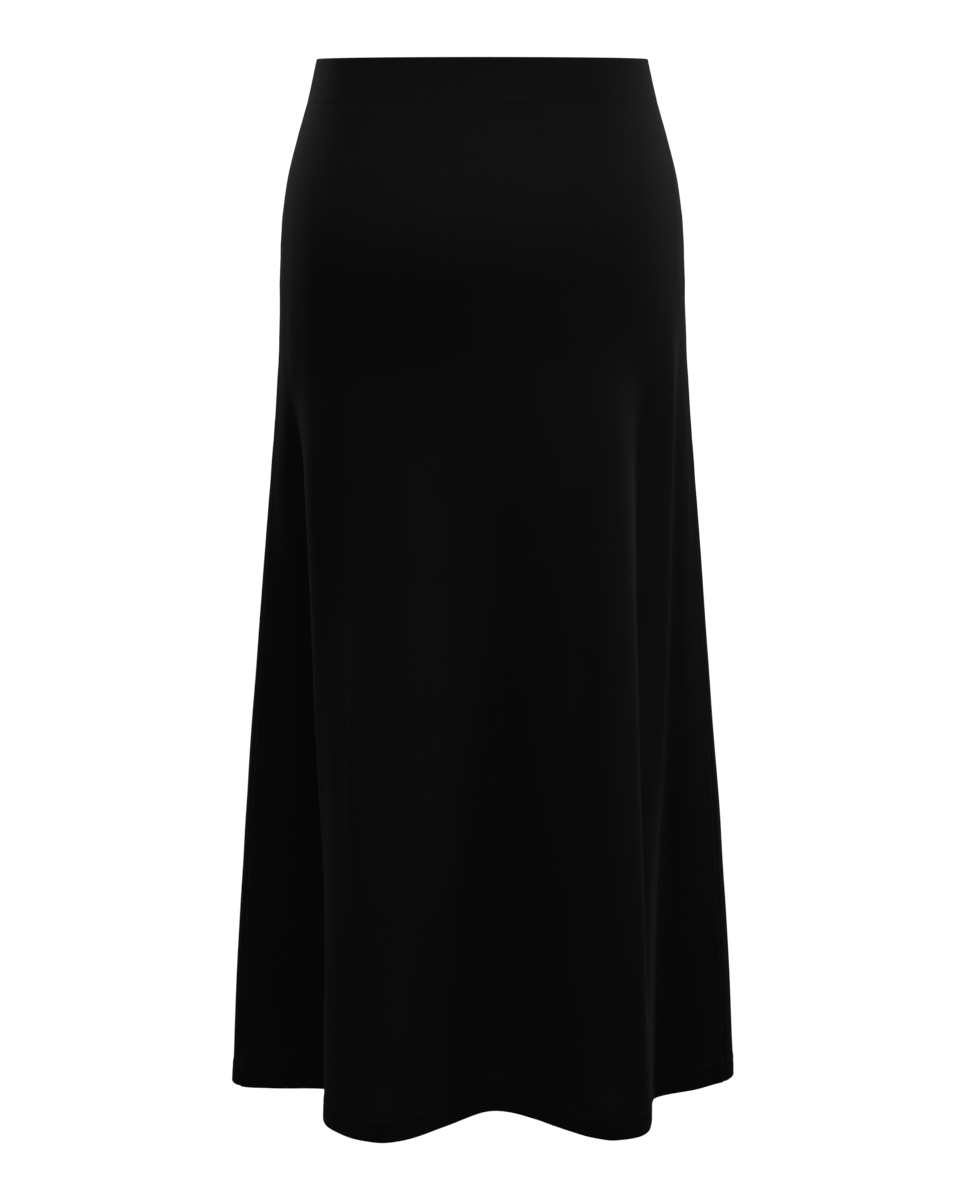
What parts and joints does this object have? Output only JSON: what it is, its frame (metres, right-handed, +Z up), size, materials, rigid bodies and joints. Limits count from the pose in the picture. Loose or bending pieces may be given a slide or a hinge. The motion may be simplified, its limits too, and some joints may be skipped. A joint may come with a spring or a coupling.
{
  "type": "midi skirt",
  "caption": "Pull-on midi skirt in plain black jersey, filled out as worn: rounded hips, soft flared folds, open hem and open elasticated waist.",
  "frame": {"origin": "middle of the waist opening, level with the waistband's top edge, where the wearer's waist holds the skirt up", "axes": "+Z up out of the waist opening, -Y towards the side shown in the picture, which is taken as the back, +Y towards the front, +X to the right in the picture"},
  "size_m": [0.4423, 0.3073, 0.8859],
  "materials": {
    "jersey": "matt fine knit with a slight sheen",
    "waistband_jersey": "matt fine knit, doubled over an elastic"
  },
  "bodies": {
    "root": {"waistband": "waistband_jersey", "back_panel": "jersey", "front_panel": "jersey"}
  },
  "joints": []
}
